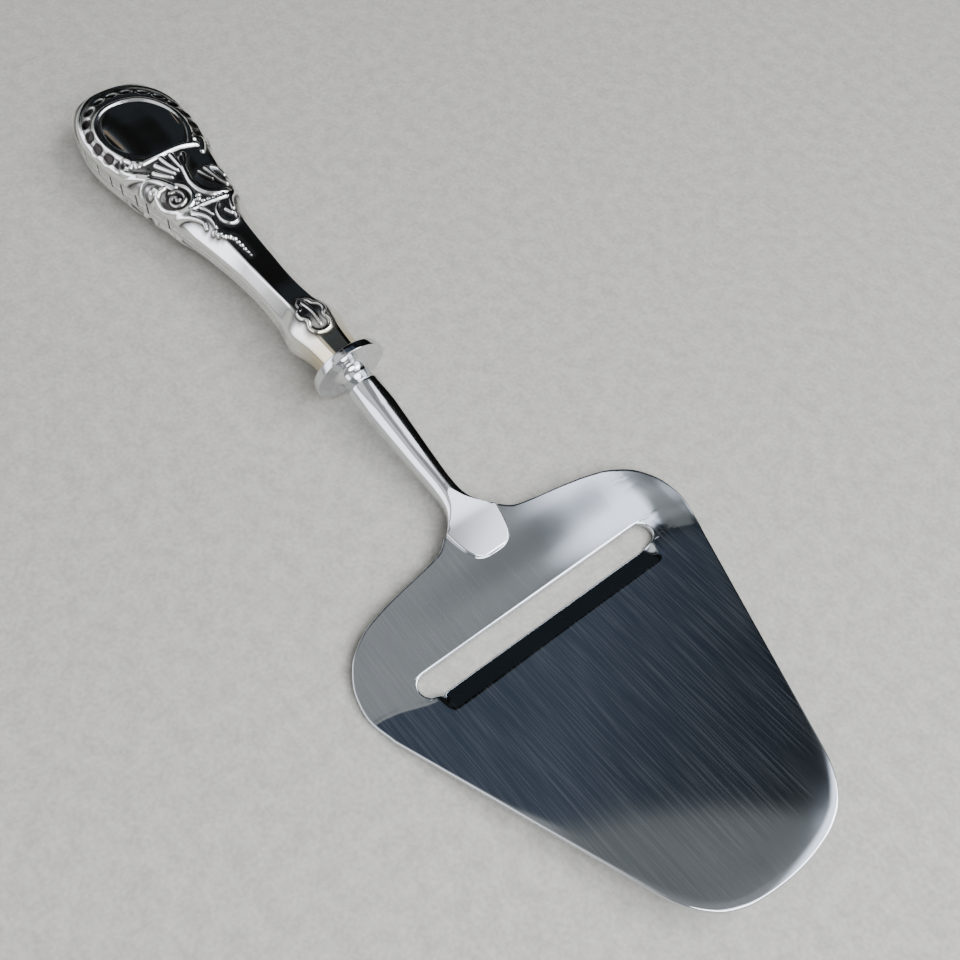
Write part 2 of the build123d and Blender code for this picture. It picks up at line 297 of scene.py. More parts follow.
brushed_lines = lines_group()
brushed = bpy.data.materials.new("brushed stainless sheet")
brushed.use_nodes = True
tree = brushed.node_tree
steel = tree.nodes["Principled BSDF"]
steel.inputs["Metallic"].default_value = 1.0
lines = tree.nodes.new("ShaderNodeGroup")
lines.node_tree = brushed_lines
lines.inputs["Fineness"].default_value = 1.0
cloudy = ranged(tree, lines.outputs["Clouds"], 0, 1, 0.3, 0.7)
tree.links.new(blended(tree, cloudy, (0.56, 0.59, 0.63), (0.62, 0.65, 0.69)), steel.inputs["Base Color"])
tree.links.new(ranged(tree, lines.outputs["Clouds"], 0.055, 0.08, 0.3, 0.7), steel.inputs["Roughness"])
brushed_part = tree.nodes.new("ShaderNodeAttribute")
brushed_part.attribute_name = "brushing"
# Scratches scatter a little light: there the steel mirrors slightly less. The pressed lip has none.
scratches = ranged(tree, lines.outputs["Lines"], 0, 1, 0.46, 0.70)
scratches = calculated(tree, "MULTIPLY", scratches, brushed_part.outputs["Fac"])
tree.links.new(ranged(tree, scratches, 1.0, 0.958), steel.inputs["Metallic"])
bumped(tree, steel, lines.outputs["Lines"], 0.02, 0.00001)
blade.data.materials.append(brushed)
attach(blade, "root")
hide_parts("blade_plate")

# Shank: one steel forging turned to a bolster disc and neck, tapered to a waist, then spread into a thin
# tongue that laps over the blade and is spot welded to it. It is ground flat on top and polished bright.
bolster_pitch = math.radians(9.9)
bolster_height = 9.1
neck_radius = 3.7
stem_end_height = 3.75
stem_hollow = 0.0085
tongue_start = 39.3
tongue_end = 47.1
tongue_height = 4.8
tongue_slope = 0.155
tongue_round = 0.42
disc_rings = [(0.4, -2.0), (4.0, -2.0), (7.42, -2.0), (7.56, -1.97), (7.66, -1.88), (7.72, -1.76), (7.80, -1.2),
              (7.93, -0.5), (7.96, -0.26), (7.93, -0.12), (7.82, -0.04), (7.68, -0.02), (6.6, -0.05), (5.2, -0.04),
              (4.5, 0.02), (4.1, 0.14), (3.75, 0.36), (3.45, 0.66), (3.22, 1.02), (3.1, 1.4), (3.05, 2.0),
              (3.08, 2.6), (3.16, 3.2), (3.3, 3.7), (3.44, 4.0), (3.6, 4.2), (3.7, 4.42)]
stem_rings = [(0.0, 1.0, 1.0, 0.0), (0.16, 0.94, 0.94, 0.0), (0.36, 0.84, 0.84, 0.01), (0.56, 0.73, 0.73, 0.08),
              (0.74, 0.65, 0.66, 0.28), (0.81, 0.67, 0.62, 0.42), (0.87, 0.78, 0.56, 0.57), (0.93, 1.07, 0.47, 0.78),
              (0.965, 1.32, 0.40, 0.90), (1.0, 1.649, 0.284, 1.0)]
tongue_side = [(39.3, 6.1), (42.4, 5.5), (44.8, 4.72), (46.2, 3.7), (46.9, 2.3), (47.1, 0.6), (47.1, -0.6)]
sides = 96
around = (np.arange(sides) + 0.5) * 2 * math.pi / sides
forward = np.array([math.cos(bolster_pitch), 0, -math.sin(bolster_pitch)])
above = np.array([math.sin(bolster_pitch), 0, math.cos(bolster_pitch)])
rings = []
for radius, along in disc_rings:
    centre = np.array([0, 0, bolster_height]) + forward * along
    rings.append(centre + radius * (np.cos(around)[:, None] * [0, 1, 0] + np.sin(around)[:, None] * above))


def block(wide, thick, corner):
    """Section with flat faces and round corners."""
    return (np.cos(around) * corner + np.sign(np.cos(around)) * (wide - corner),
            np.sin(around) * corner + np.sign(np.sin(around)) * (thick - corner))


def faceted(wide, thick):
    """Round section ground to broad soft facets: degrees from its right side, share of the radius left."""
    facets = [(90, 0.96), (65, 0.98), (134, 0.97), (8, 0.95), (178, 0.97), (-50, 0.95), (-90, 0.93), (-130, 0.95)]
    softness = 16
    flats = sum((np.clip(np.cos(around - math.radians(turn)), 0, None) / far) ** softness for turn, far in facets)
    reach = flats ** (-1 / softness)
    return reach * np.cos(around) * wide, reach * np.sin(around) * thick


stem_start = disc_rings[-1][1] * math.cos(bolster_pitch)
end_drop = stem_end_height - bolster_height + tongue_start * math.tan(bolster_pitch)
runs = np.linspace(0.012, 1, 110)
wide, thick, lift = (smooth_through([r[0] for r in stem_rings], [r[k] for r in stem_rings], runs) for k in (1, 2, 3))
# The stem is round at the neck, ground to facets along its length and square where it spreads into the tongue.
for run, w, t, d in zip(runs, wide * neck_radius, thick * neck_radius, lift):
    x = stem_start + run * (tongue_start - stem_start)
    z = bolster_height - x * math.tan(bolster_pitch) + d * end_drop
    lean = bolster_pitch * (1 - run)
    square = np.clip((run - 0.80) / 0.20, 0, 1) ** 1.6
    boxed = block(w, t, min(0.5, t))
    ground = np.clip((run - 0.03) / 0.15, 0, 1)
    turned, cut = (np.cos(around) * w, np.sin(around) * t), faceted(w, t)
    across = (1 - square) * ((1 - ground) * turned[0] + ground * cut[0]) + square * boxed[0]
    up = (1 - square) * ((1 - ground) * turned[1] + ground * cut[1]) + square * boxed[1]
    ring = np.stack([x + up * math.sin(lean), across, z + up * math.cos(lean)], axis=1)
    back = tongue_start - ring[:, 0]
    ring[:, 2] = np.minimum(ring[:, 2], tongue_height + tongue_slope * back + stem_hollow * back ** 2)
    rings.append(ring)
tongue_curve = through(tongue_side, 300)
tongue_curve = tongue_curve[tongue_curve[:, 1] > 0.02]
# The tongue lies on the blade's curve, a little into it, and its top slopes down to a rounded front edge.
sunk_into_blade = 0.2
for x in 39.35 + 7.745 * np.sin(np.linspace(0, math.pi / 2, 44)):
    w = max(float(np.interp(x, *tongue_curve.T)), 0.12)
    base = float(plate_top(x))
    height = tongue_height - tongue_slope * (x - tongue_start) - base
    height -= float(rounded_drop(tongue_end - x, tongue_round)) * 0.9
    half_height = (height + sunk_into_blade) / 2
    across, up = block(w, half_height, min(tongue_round, w, half_height))
    rings.append(np.stack([np.full(sides, x), across, base - sunk_into_blade + half_height + up], axis=1))

bpy.ops.object.select_all(action="DESELECT")
bpy.ops.mesh.primitive_circle_add(vertices=sides, radius=0.0004, fill_type="NOTHING")
shank = bpy.context.object
shank.name = "shank_forging"
bpy.ops.object.mode_set(mode="EDIT")
bpy.ops.mesh.select_all(action="SELECT")
for ring in rings[1:]:
    bpy.ops.mesh.extrude_edges_move(TRANSFORM_OT_translate={"value": (0.001, 0, 0)})
bpy.ops.object.mode_set(mode="OBJECT")
write_points(shank, placed(np.concatenate(rings)))
bpy.ops.object.mode_set(mode="EDIT")
bpy.ops.mesh.select_mode(type="EDGE")
bpy.ops.mesh.select_all(action="DESELECT")
bpy.ops.mesh.select_non_manifold()
bpy.ops.mesh.edge_face_add()
bpy.ops.mesh.select_all(action="SELECT")
bpy.ops.mesh.normals_make_consistent(inside=False)
bpy.ops.object.mode_set(mode="OBJECT")
bpy.ops.object.shade_smooth_by_angle(angle=math.radians(28))
flats = shank.modifiers.new("true flats", "WEIGHTED_NORMAL")
flats.keep_sharp = True
bpy.ops.object.modifier_apply(modifier=flats.name)

polished = bpy.data.materials.new("polished steel forging")
polished.use_nodes = True
tree = polished.node_tree
steel = tree.nodes["Principled BSDF"]
steel.inputs["Metallic"].default_value = 1.0
lines = tree.nodes.new("ShaderNodeGroup")
lines.node_tree = brushed_lines
lines.inputs["Fineness"].default_value = 0.6
cloudy = ranged(tree, lines.outputs["Clouds"], 0, 1, 0.3, 0.7)
tree.links.new(blended(tree, cloudy, (0.66, 0.68, 0.70), (0.76, 0.77, 0.78)), steel.inputs["Base Color"])
tree.links.new(ranged(tree, lines.outputs["Clouds"], 0.07, 0.13, 0.3, 0.7), steel.inputs["Roughness"])
bumped(tree, steel, lines.outputs["Lines"], 0.08, 0.00001)
shank.data.materials.append(polished)
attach(shank, "root")
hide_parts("shank")

# Handle shells: two halves struck from thin silver sheet over the same die and soldered along the side seam,
# eight-sided and waisted, with rococo relief raised on the broad end and a small leaf on the bulb.
handle_length = 101.6
handle_half = 12.6
handle_depth = 7.3
side_flat = 0.38
relief_top = 0.56
ridge_spread = 1.45
bead_spread = 1.3
notch_half = 0.48
notch_top = 1.9
notch_depth = 0.34
axis_at_broad_end = 7.9
handle_pitch = math.asin((bolster_height - axis_at_broad_end) / (0.8 * handle_length))
cartouche = (-79.6, -0.4, 10.0, 8.6)
stations = np.array([
    (-0.02, 0.365, 0.62, 0.46), (0.03, 0.368, 0.63, 0.46), (0.08, 0.400, 0.70, 0.48), (0.13, 0.480, 0.85, 0.48),
    (0.175, 0.410, 0.72, 0.46), (0.24, 0.372, 0.62, 0.46), (0.32, 0.390, 0.62, 0.46), (0.41, 0.468, 0.67, 0.46),
    (0.50, 0.588, 0.76, 0.48), (0.59, 0.722, 0.86, 0.54), (0.68, 0.868, 0.94, 0.60), (0.76, 0.972, 0.99, 0.64),
    (0.82, 1.000, 1.00, 0.66), (0.88, 0.972, 0.95, 0.66), (0.93, 0.868, 0.82, 0.66), (0.965, 0.725, 0.67, 0.62),
    (0.985, 0.540, 0.48, 0.58), (0.995, 0.330, 0.29, 0.56), (1.0, 0.004, 0.004, 0.56)])
notches = np.array([0.558, 0.624, 0.658, 0.706, 0.742, 0.790, 0.845]) * -handle_length

# Ridges of the die: points along the handle and off its middle, radius at start and end, height.
ridges = [
    ([(-69.6, -5.8), (-71.0, -7.2), (-74.1, -8.5), (-77.2, -9.3), (-80.1, -9.7), (-82.8, -9.6), (-85.6, -8.9),
      (-87.9, -7.5), (-89.5, -5.4), (-90.2, -2.8), (-90.2, 0.2), (-89.3, 2.8), (-87.6, 5.2), (-85.2, 7.1),
      (-82.2, 8.4), (-79.0, 8.9), (-75.5, 8.5), (-72.3, 7.3), (-69.7, 5.9)], 0.55, 0.55, 0.50),
    ([(-69.5, -6.0), (-69.4, -3.0), (-69.6, 0.0), (-69.6, 3.0), (-69.3, 6.2)], 0.55, 0.60, 0.56),
    ([(-70.2, -10.3), (-73.7, -11.2), (-78.2, -11.9), (-83.0, -12.2), (-87.6, -11.6), (-91.5, -10.2), (-94.6, -7.8),
      (-96.6, -4.6), (-97.2, -1.0), (-96.9, 2.4), (-95.4, 5.8), (-92.8, 8.7), (-89.2, 10.6), (-84.6, 11.7),
      (-79.5, 11.7), (-74.4, 10.9), (-69.6, 9.4)], 0.50, 0.50, 0.42),
    ([(-66.0, -7.0), (-68.5, -8.9), (-70.8, -10.0), (-72.9, -9.9), (-73.4, -8.8), (-72.5, -7.9), (-71.1, -7.9),
      (-70.6, -8.7), (-71.3, -9.1)], 0.50, 0.35, 0.54),
    ([(-66.6, 7.0), (-68.5, 8.2), (-70.6, 9.0), (-72.4, 8.6), (-72.6, 7.6), (-71.6, 7.0),
      (-70.7, 7.5)], 0.50, 0.35, 0.50),
    ([(-68.2, -2.0), (-65.6, -1.6), (-63.4, -1.0)], 0.55, 0.25, 0.54),
    ([(-67.2, -3.9), (-65.2, -3.1), (-63.0, -2.1)], 0.55, 0.25, 0.54),
    ([(-65.6, -5.3), (-64.1, -4.4), (-62.2, -3.1)], 0.55, 0.25, 0.54),
    ([(-68.2, 0.3), (-66.2, 0.2), (-63.8, 0.1)], 0.50, 0.25, 0.48),
    ([(-67.2, 2.6), (-65.6, 2.0), (-63.9, 1.1)], 0.50, 0.25, 0.50),
    ([(-66.4, 1.4), (-65.2, 0.8), (-63.8, 0.6), (-61.4, 0.1), (-58.8, -0.3), (-56.2, 0.1), (-54.4, 1.2), (-53.4, 2.8),
      (-53.4, 5.2)], 0.45, 0.60, 0.56),
    ([(-61.2, 4.7), (-60.1, 4.9), (-58.3, 5.3), (-56.5, 5.7), (-55.3, 6.3)], 0.55, 0.30, 0.50),
    ([(-61.4, 5.9), (-60.3, 7.0), (-58.4, 7.5)], 0.50, 0.30, 0.45),
    ([(-60.8, 3.0), (-59.4, 3.5), (-57.8, 4.2)], 0.45, 0.25, 0.40),
    ([(-69.8, -10.6), (-67.9, -9.2), (-65.6, -7.4), (-63.4, -5.9), (-61.5, -4.9), (-59.7, -4.2)], 0.40, 0.65, 0.50),
    ([(-61.4, -4.9), (-63.6, -6.2), (-65.0, -7.9), (-64.8, -9.5), (-63.1, -10.1), (-61.2, -9.5), (-60.4, -8.3),
      (-61.0, -7.2), (-62.2, -7.4)], 0.45, 0.35, 0.54),
    ([(-61.0, -6.0), (-61.1, -7.6), (-59.4, -8.6), (-56.8, -8.4), (-54.5, -7.1), (-53.2, -5.1), (-54.0, -3.0),
      (-56.1, -1.8), (-58.4, -2.1), (-60.0, -3.4)], 0.45, 0.45, 0.46),
    ([(-59.0, -5.6), (-58.6, -4.2), (-57.2, -3.5), (-55.6, -3.9), (-54.9, -5.2), (-55.6, -6.3), (-57.0, -6.6),
      (-57.9, -5.9), (-57.3, -5.0)], 0.40, 0.40, 0.52),
    ([(-54.8, -8.8), (-53.5, -6.6), (-52.4, -4.4), (-52.1, -2.0), (-52.0, 0.0), (-51.8, 2.0), (-51.9, 4.0),
      (-53.0, 6.0), (-54.8, 7.6)], 0.32, 0.32, 0.44),
    ([(-54.0, -8.2), (-52.2, -6.2), (-50.8, -5.2), (-49.2, -4.4), (-47.8, -4.0), (-46.4, -4.3)], 0.55, 0.25, 0.54),
    ([(-51.4, -4.4), (-49.8, -3.3), (-48.3, -2.6), (-46.6, -2.5), (-45.0, -2.8)], 0.50, 0.25, 0.54),
    ([(-51.4, -2.4), (-50.0, -1.7), (-48.6, -1.4)], 0.35, 0.20, 0.40),
    ([(-50.6, 1.3), (-49.6, 0.3), (-47.9, -0.4), (-46.0, -0.5), (-44.7, 0.2), (-44.2, 1.3), (-44.9, 2.5),
      (-46.4, 2.9)], 0.35, 0.30, 0.50),
    ([(-48.3, 1.9), (-47.0, 2.3)], 0.45, 0.35, 0.45),
    ([(-47.8, 3.2), (-49.6, 3.8), (-51.4, 4.8), (-53.4, 6.8)], 0.30, 0.45, 0.46),
    ([(-17.6, -0.4), (-16.4, -1.4), (-15.2, -1.6), (-14.4, -2.7), (-12.8, -2.9), (-11.6, -2.1), (-10.2, -2.6),
      (-8.8, -2.0), (-8.2, -0.5), (-8.6, 1.1), (-9.8, 1.8), (-11.2, 1.5), (-12.4, 2.3), (-14.0, 2.2), (-15.2, 1.3),
      (-16.6, 1.1), (-17.6, -0.4)], 0.35, 0.35, 0.32),
    ([(-16.6, -0.2), (-13.5, -0.1), (-9.8, -0.3)], 0.45, 0.25, 0.30),
]
# Round beads: place, radius, height. Hollows of the lobed border: place, half length, half width, turn, depth.
beads = [(-70.0, -7.0, 0.75, 0.56), (-69.2, 6.9, 0.75, 0.56), (-62.2, -8.4, 0.65, 0.54), (-56.5, -5.1, 0.70, 0.56),
         (-54.9, -1.1, 0.50, 0.50), (-53.9, -1.5, 0.45, 0.50), (-52.9, -2.3, 0.45, 0.50), (-52.9, -1.0, 0.48, 0.54),
         (-52.7, 0.2, 0.48, 0.54), (-52.4, 1.3, 0.48, 0.54), (-52.2, 2.4, 0.48, 0.54), (-52.3, 3.5, 0.45, 0.50),
         (-44.3, -3.7, 0.55, 0.54), (-43.0, -3.2, 0.58, 0.56), (-41.9, -2.6, 0.50, 0.56), (-41.2, -1.8, 0.52, 0.56),
         (-40.2, -1.2, 0.50, 0.54), (-39.0, -1.1, 0.45, 0.50), (-37.9, -1.0, 0.42, 0.46), (-36.7, -1.0, 0.36, 0.42),
         (-35.6, -0.9, 0.30, 0.34), (-34.6, -0.9, 0.24, 0.26)]
hollows = [
    (-73.0, -9.9, 1.3, 0.65, 14, 0.30), (-76.6, -10.6, 1.5, 0.75, 10, 0.40), (-80.8, -11.0, 1.5, 0.80, 4, 0.42),
    (-85.0, -10.6, 1.5, 0.80, -10, 0.42), (-88.9, -9.3, 1.5, 0.80, -30, 0.42), (-91.9, -7.0, 1.5, 0.85, -52, 0.42),
    (-93.6, -3.9, 1.5, 0.90, -74, 0.42), (-94.0, -0.6, 1.5, 0.90, -90, 0.42), (-93.3, 2.8, 1.5, 0.90, 72, 0.42),
    (-91.2, 6.0, 1.5, 0.85, 50, 0.42), (-88.2, 8.3, 1.5, 0.80, 30, 0.42), (-84.4, 9.7, 1.5, 0.80, 14, 0.42),
    (-80.2, 10.3, 1.5, 0.80, 0, 0.42), (-76.0, 9.9, 1.5, 0.75, -10, 0.40), (-72.4, 9.0, 1.3, 0.65, -18, 0.30),
    (-57.2, -5.2, 2.9, 2.6, 0, 0.22), (-57.4, 3.4, 3.2, 2.6, -20, 0.16)]
hollows = [(x, y, 1.15 * a, 1.3 * b, turned, depth) for x, y, a, b, turned, depth in hollows]


def along_handle(x):
    """Half width, half thickness and half flat of the handle at a place along it."""
    share = -x / handle_length
    a, b, flat = (smooth_through(stations[:, 0], stations[:, k], share) for k in (1, 2, 3))
    flat = flat + 0.10 * np.clip(1 - np.abs(share - 0.32) / 0.2, 0, 1)
    return a * handle_half, b * handle_depth, flat * a * handle_half


def oval_depth(x, y):
    """One in the middle of the cartouche's oval, nothing at its edge and beyond."""
    middle_x, middle_y, half_long, half_wide = cartouche
    return np.clip(1 - ((x - middle_x) / half_long) ** 2 - ((y - middle_y) / half_wide) ** 2, 0, 1)


def relief_at(x, y):
    """Height of the struck relief above the plain surface, depth of its hollows, gap to its nearest ridge."""
    raised, gap = np.zeros_like(x), np.full(x.shape, 9.0)
    for points, start, end, height in ridges:
        line = through(points, 3 * len(points))
        near = (x > line[:, 0].min() - 2.2) & (x < line[:, 0].max() + 2.2)
        px, py = x[near], y[near]
        best, closest = raised[near], gap[near]
        for k, (a, b) in enumerate(zip(line, line[1:])):
            radius = ridge_spread * (start + (end - start) * (k + 0.5) / (len(line) - 1))
            far = line_distance(px, py, a, b)
            closest = np.minimum(closest, far - radius)
            best = np.maximum(best, height * np.clip(1 - (far / radius) ** 2, 0, 1) ** 0.8)
        raised[near], gap[near] = best, closest
    for bx, by, radius, height in beads:
        far = np.hypot(x - bx, y - by)
        gap = np.minimum(gap, far - bead_spread * radius)
        raised = np.maximum(raised, height * np.clip(1 - (far / (bead_spread * radius)) ** 2, 0, 1) ** 0.7)
    sunk = np.zeros_like(x)
    for hx, hy, long, short, turned, depth in hollows:
        c, s = math.cos(math.radians(turned)), math.sin(math.radians(turned))
        u, v = ((x - hx) * c + (y - hy) * s) / long, ((y - hy) * c - (x - hx) * s) / short
        sunk = np.maximum(sunk, depth * np.clip(1.25 * (1 - u * u - v * v), 0, 1))
    # Inside the cartouche the sheet is dished to a shallow mirror. Round it lies a raised border.
    sunk = np.maximum(sunk, 0.35 * oval_depth(x, y) ** 0.7 * (x < -69.6))
    border = np.clip((-x - 70.0) / 1.5, 0, 1) * np.clip((np.hypot((x + 80.5) / 13.8, y / 10.8) - 0.80) / 0.1, 0, 1)
    ground = 0.20 * border * np.clip((98.2 + x) / 1.2, 0, 1)
    return np.maximum(raised, ground) - sunk, sunk, gap


def handle_turned(points, side=1):
    """The drawn handle, straight along X, turned over where side is -1 and set at its pitch behind the bolster."""
    c, s = math.cos(handle_pitch), math.sin(handle_pitch)
    x, y, z = points[:, 0], points[:, 1], side * points[:, 2]
    return np.stack([x * c - z * s, y, bolster_height + x * s + z * c], axis=1)


butt_rows = -handle_length + 2.6 * (1 - np.sin(np.linspace(0.04, math.pi / 2, 34)))
rows = np.concatenate([np.linspace(-1.9, -18, 100), np.linspace(-18, -33, 40)[1:],
                       np.linspace(-33, -99, 372)[1:], butt_rows])
columns = 150
share = np.linspace(0, 1, columns)
surface, outward = [], []
# Each row is half a section, from seam to seam: eight-sided on the stem, crowned on the broad end, then softened.
for x in rows:
    a, b, flat = (float(v) for v in along_handle(x))
    s = side_flat * b
    place = -x / handle_length
    plain = np.array([(a, 0), (a, s), ((a + flat) / 2, (s + b) / 2), (flat, b), (flat / 2, b)])
    crowned = np.array([(a, 0), (a, s), (0.86 * a, b - 0.15 * a), (0.60 * a, b - 0.055 * a), (0.3 * a, b)])
    crown = min(1, max(0, (place - 0.47) / 0.08)) * min(1, max(0, (1.0 - place) / 0.05))
    path = plain + (crowned - plain) * crown
    path = np.concatenate([path, path[::-1] * [-1, 1]])
    steps = np.r_[0, np.cumsum(np.linalg.norm(np.diff(path, axis=0), axis=1))]
    section = np.stack([np.interp(share * steps[-1], steps, path[:, k]) for k in (0, 1)], axis=1)
    softening = 14 + 26 * crown + 50 * max(0, (place - 0.86) / 0.14) + 34 * min(1, max(0, (0.2 - place) / 0.1))
    for _ in range(int(softening)):
        section[1:-1] = section[1:-1] * 0.5 + (section[:-2] + section[2:]) * 0.25
    tangent = np.gradient(section, axis=0)
    normal = np.stack([tangent[:, 1], -tangent[:, 0]], axis=1)
    normal /= np.linalg.norm(normal, axis=1)[:, None]
    surface.append(np.column_stack([np.full(columns, x), section]))
    outward.append(normal)
surface, outward = np.array(surface), np.array(outward)
height, sunk, gap = relief_at(surface[:, :, 0].ravel(), surface[:, :, 1].ravel())
height, sunk, gap = (v.reshape(surface.shape[:2]) for v in (height, sunk, gap))
side_height = side_flat * along_handle(surface[:, :, 0])[1]
fade = np.clip((surface[:, :, 2] / side_height - 0.55) / 0.5, 0, 1)
height *= fade * fade * (3 - 2 * fade) * np.clip((surface[:, :, 0] + 100.6) / 1.2, 0, 1)
# A few small notches are cut across the flank, close to the seam.
scored = np.zeros_like(height)
for place in notches:
    mark = np.clip(1 - np.abs(surface[:, :, 0] - place) / notch_half, 0, 1)
    scored = np.maximum(scored, mark * np.clip((notch_top - surface[:, :, 2]) / 0.5, 0, 1))
height -= notch_depth * scored
height = np.minimum(height, relief_top)
grid = surface.copy()
grid[:, :, 1:] += outward * height[:, :, None]
grid[:, :, 2] = np.maximum(grid[:, :, 2], 0)

bpy.ops.object.select_all(action="DESELECT")
bpy.ops.mesh.primitive_grid_add(x_subdivisions=columns - 1, y_subdivisions=len(rows) - 1, size=0.1)
front = bpy.context.object
front.name = "handle_upper_shell"
write_points(front, placed(handle_turned(grid.reshape(-1, 3))))
tarnish = front.data.attributes.new("tarnish", "FLOAT", "POINT")
inside = oval_depth(surface[:, :, 0], surface[:, :, 1]) > 0
feet = np.clip(1 - gap / 1.3, 0, 1) * np.clip((gap + 0.25) / 0.25, 0, 1) * ~inside
hollowness = np.clip(sunk / 0.4, 0, 1) * ~inside * 0.9 + feet * 0.72
hollowness = np.maximum(hollowness * fade, scored)
tarnish.data.foreach_set("value", hollowness.ravel().astype(np.float32))
bpy.ops.object.mode_set(mode="EDIT")
bpy.ops.mesh.select_all(action="SELECT")
bpy.ops.mesh.remove_doubles(threshold=0.00002)
bpy.ops.mesh.select_all(action="SELECT")
bpy.ops.mesh.normals_make_consistent(inside=False)
bpy.ops.mesh.select_all(action="DESELECT")
bpy.ops.mesh.select_non_manifold()
bpy.ops.mesh.extrude_edges_move(TRANSFORM_OT_translate={"value": (0, 0, 0)})
bpy.ops.transform.resize(value=(0.985, 0.90, 1.0), center_override=placed([(-50, 0, 8.5)])[0])
bpy.ops.object.mode_set(mode="OBJECT")
bpy.ops.object.shade_smooth()

bpy.ops.object.select_all(action="DESELECT")
front.select_set(True)
bpy.context.view_layer.objects.active = front
bpy.ops.object.duplicate()
back = bpy.context.object
back.name = "handle_lower_shell"
points = read_points(front) * 1000 - [disc_ahead_of_origin, 0, lift_to_table + bolster_height]
c, s = math.cos(handle_pitch), math.sin(handle_pitch)
drawn = np.stack([points[:, 0] * c + points[:, 2] * s, points[:, 1], -points[:, 0] * s + points[:, 2] * c], axis=1)
write_points(back, placed(handle_turned(drawn, side=-1)))
bpy.ops.object.mode_set(mode="EDIT")
bpy.ops.mesh.select_all(action="SELECT")
bpy.ops.mesh.flip_normals()
bpy.ops.object.mode_set(mode="OBJECT")

silver = bpy.data.materials.new("struck silver, tarnished in the hollows")
silver.use_nodes = True
tree = silver.node_tree
metal = tree.nodes["Principled BSDF"]
metal.inputs["Metallic"].default_value = 1.0
hollow = tree.nodes.new("ShaderNodeAttribute")
hollow.attribute_name = "tarnish"
coords = tree.nodes.new("ShaderNodeTexCoord").outputs["Object"]
wear = noise(tree, coords, 420, 4)
mask = ranged(tree, calculated(tree, "MULTIPLY_ADD", wear, 0.25, hollow.outputs["Fac"]), 0, 1, 0.22, 0.85)
# The silver has yellowed a little close to the bolster, and tarnish lies black in the hollows.
axes = tree.nodes.new("ShaderNodeSeparateXYZ")
tree.links.new(coords, axes.inputs[0])
near_bolster = ranged(tree, axes.outputs["X"], 0, 1, -0.024, -0.016)
clean = blended(tree, near_bolster, (0.86, 0.86, 0.84), (0.66, 0.58, 0.42))
tree.links.new(blended(tree, mask, clean, (0.035, 0.032, 0.03)), metal.inputs["Base Color"])
tree.links.new(ranged(tree, mask, 0.10, 0.34), metal.inputs["Roughness"])
bumped(tree, metal, wear, 0.05, 0.00003)
for shell, node in ((front, "handle_front_shell"), (back, "handle_back_shell")):
    shell.data.materials.append(silver)
    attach(shell, "root")
    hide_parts(node)

# Filler: dark cement, cast around the tang inside the closed shells, where it sets and holds the two together.
# It can't be seen from outside, so the CAD solid is kept and only given its material.
cement = bpy.data.materials.new("cast cement")
cement.use_nodes = True
tree = cement.node_tree
fill = tree.nodes["Principled BSDF"]
grit = noise(tree, tree.nodes.new("ShaderNodeTexCoord").outputs["Object"], 900, 2)
tree.links.new(blended(tree, grit, (0.05, 0.04, 0.03), (0.16, 0.12, 0.08)), fill.inputs["Base Color"])
tree.links.new(ranged(tree, grit, 0.7, 0.95), fill.inputs["Roughness"])
bumped(tree, fill, grit, 0.5, 0.0001)
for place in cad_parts["handle_filler"].material_slots:
    place.material = cement

# Stage: a plain pale grey floor, a large soft light from the right of the picture and a small one past the tip,
# and a pale room with a window and one dark side, which the polished steel and silver mirror.
bpy.ops.object.select_all(action="DESELECT")
bpy.ops.mesh.primitive_plane_add(size=6)
floor = bpy.context.object
floor.name = "floor"
stone = bpy.data.materials.new("pale floor")
stone.use_nodes = True
tree = stone.node_tree
ground = tree.nodes["Principled BSDF"]
coords = tree.nodes.new("ShaderNodeTexCoord").outputs["Object"]
mottled = calculated(tree, "ADD", noise(tree, coords, 1100, 3), noise(tree, coords, 300, 5))
mottled = ranged(tree, mottled, 0, 1, 0.75, 1.25)
tree.links.new(blended(tree, mottled, (0.405, 0.40, 0.378), (0.535, 0.53, 0.505)), ground.inputs["Base Color"])
ground.inputs["Roughness"].default_value = 0.75
floor.data.materials.append(stone)


def softbox(name, azimuth, elevation, distance, size, power):
    """A round lamp that points at the middle of the floor."""
    light = bpy.data.lights.new(name, "AREA")
    light.shape = "DISK"
    light.size = size
    light.energy = power
    lamp = bpy.data.objects.new(name, light)
    bpy.context.collection.objects.link(lamp)
    a, e = math.radians(azimuth), math.radians(elevation)
    toward = np.array([math.cos(e) * math.cos(a), math.cos(e) * math.sin(a), math.sin(e)])
    lamp.location = distance * toward
    lamp.rotation_euler = (math.pi / 2 - e, 0, a + math.pi / 2)


softbox("window light", 60, 50, 2.2, 1.3, 31)
softbox("near lamp", -8, 46, 0.58, 0.45, 4.0)
room = bpy.data.worlds.new("pale room")
bpy.context.scene.world = room
room.use_nodes = True
tree = room.node_tree
sky = tree.nodes["Background"]
coords = tree.nodes.new("ShaderNodeTexCoord")
axes = tree.nodes.new("ShaderNodeSeparateXYZ")
tree.links.new(coords.outputs["Generated"], axes.inputs[0])


def worked(operation, *values):
    """One step of arithmetic on the direction that the room is seen in."""
    return calculated(tree, operation, *values)


def between(measure, bottom, bottom_end, top, top_end):
    """One inside a band of the room, with soft edges."""
    return worked("MULTIPLY", ranged(tree, measure, 0, 1, bottom, bottom_end),
                  ranged(tree, measure, 1, 0, top, top_end))


azimuth = worked("MULTIPLY", worked("ARCTAN2", axes.outputs["Y"], axes.outputs["X"]), 180 / math.pi)
height_above = worked("MULTIPLY", worked("ARCSINE", axes.outputs["Z"]), 180 / math.pi)


def patch(low, high, bottom, top, soft):
    """Soft-edged oblong of the room between two azimuths and two heights."""
    return worked("MULTIPLY", between(azimuth, low - soft, low + soft, high - soft, high + soft),
                  between(height_above, bottom - soft, bottom + soft, top - soft / 2, top + soft / 2))


